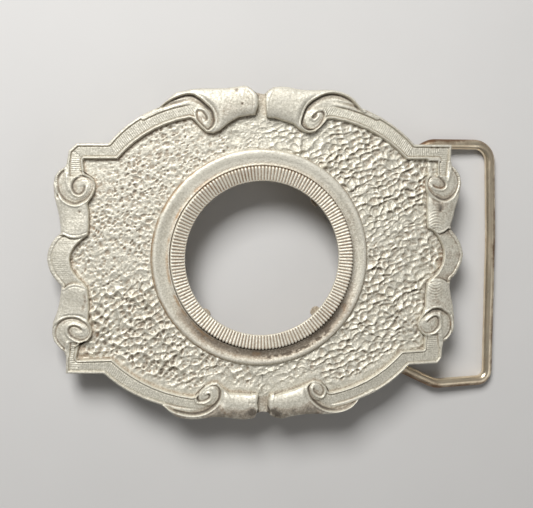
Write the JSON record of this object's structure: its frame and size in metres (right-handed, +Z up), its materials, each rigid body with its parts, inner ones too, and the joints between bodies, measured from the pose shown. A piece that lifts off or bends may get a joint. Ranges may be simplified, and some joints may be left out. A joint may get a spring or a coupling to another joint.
{
  "type": "belt buckle blank",
  "caption": "Cast scrollwork belt buckle with a round reeded window for a coin or stone, a post behind one end and a swinging wire belt loop at the other.",
  "frame": {"origin": "centre of the part's box in X and Y, on the surface that the buckle lies on", "axes": "+X from the belt post to the wire loop, +Y across the belt, +Z up and out of the decorated face"},
  "size_m": [0.1067, 0.0764, 0.0122],
  "materials": {
    "cast_pewter": "cast white metal, satin, warm grey with brown tarnish in the hollows",
    "bezel_pewter": "reeded white metal, worn bright on the ridges",
    "post_metal": "plain turned metal, dull",
    "wire_metal": "drawn wire with worn plating and rust-brown stains"
  },
  "bodies": {
    "buckle": {"plate": "cast_pewter", "coin_bezel": "bezel_pewter", "belt_post": "post_metal"},
    "loop": {"belt_loop": "wire_metal"}
  },
  "joints": [
    {"name": "loop_swing", "type": "hinge", "parent": "buckle", "child": "loop", "pos_m": [0.02285, 0, 0.0036], "axis": [0, 1, 0], "range_deg": [-5, 176]}
  ]
}
